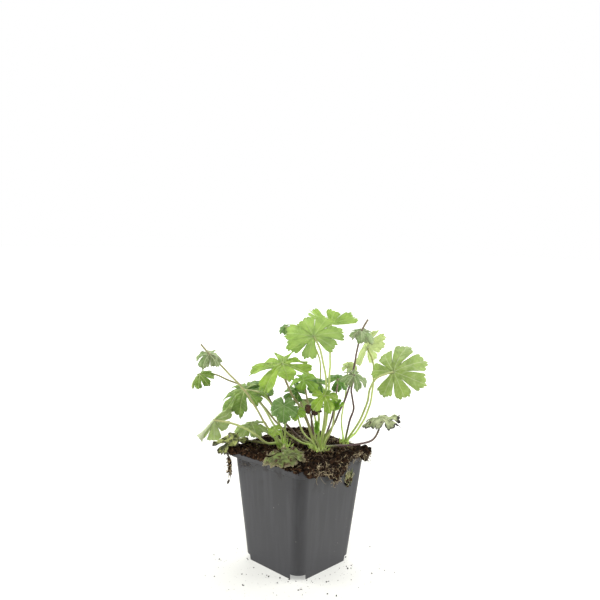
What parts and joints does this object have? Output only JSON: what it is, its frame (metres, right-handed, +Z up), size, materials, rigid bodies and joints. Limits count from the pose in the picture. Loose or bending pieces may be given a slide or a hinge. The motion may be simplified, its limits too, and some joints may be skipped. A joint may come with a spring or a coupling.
{
  "type": "potted hardy geranium",
  "caption": "Hardy geranium with lobed round leaves on slender stalks, rising from its peat in a square tapering plastic nursery pot; stands on the pot's flat foot.",
  "frame": {"origin": "centre of the pot's foot, on the plane it stands on", "axes": "+Z up out of the pot; X and Y along the pot's walls, so its corners lie on the diagonals; the plant's own front looks along the direction (-0.724, -0.690, 0), at one corner of the pot"},
  "size_m": [0.1729, 0.1836, 0.2223],
  "materials": {
    "pot": "dark grey moulded plastic, matt",
    "crown": "green-brown knuckle of old leaf bases",
    "soil": "dark fibrous peat",
    "root": "dry brown rootlet with a clump of peat",
    "leaf_fresh": "soft matt green leaf, thin enough to let light through",
    "leaf_young": "pale yellow-green young leaf",
    "leaf_dark": "small dark green leaf on a reddish stalk",
    "leaf_withered": "withered grey-green leaf with brown spots",
    "leaf_reddish": "dead red-brown leaf"
  },
  "bodies": {
    "root": {"pot": "pot", "crown_left": "crown", "crown_middle": "crown", "crown_right": "crown", "soil": "soil", "hanging_root": "root", "leaf_top_front": "leaf_young", "leaf_top_back": "leaf_young", "leaf_left_high": "leaf_young", "leaf_right_high": "leaf_fresh", "leaf_pale_back": "leaf_young", "stem_right": "leaf_dark", "leaf_right_mid": "leaf_dark", "leaf_right_low": "leaf_withered", "leaf_left_small": "leaf_fresh", "stem_left": "leaf_dark", "leaf_left_mid": "leaf_fresh", "leaf_left_dark": "leaf_dark", "leaf_left_droop": "leaf_fresh", "leaf_left_low": "leaf_fresh", "leaf_rim_left": "leaf_withered", "leaf_rim_front": "leaf_withered", "leaf_front_hang": "leaf_dark", "leaf_middle_left": "leaf_young", "leaf_middle_back": "leaf_dark", "leaf_middle": "leaf_dark", "leaf_middle_right": "leaf_dark", "leaf_bright": "leaf_young", "leaf_brown": "leaf_reddish", "leaf_bud": "leaf_young", "leaf_small_middle": "leaf_young", "leaf_small_left": "leaf_young", "leaf_far_left": "leaf_fresh", "leaf_far_middle": "leaf_fresh", "leaf_top_left": "leaf_dark", "leaf_small_right": "leaf_young", "leaf_small_back": "leaf_young"}
  },
  "joints": []
}
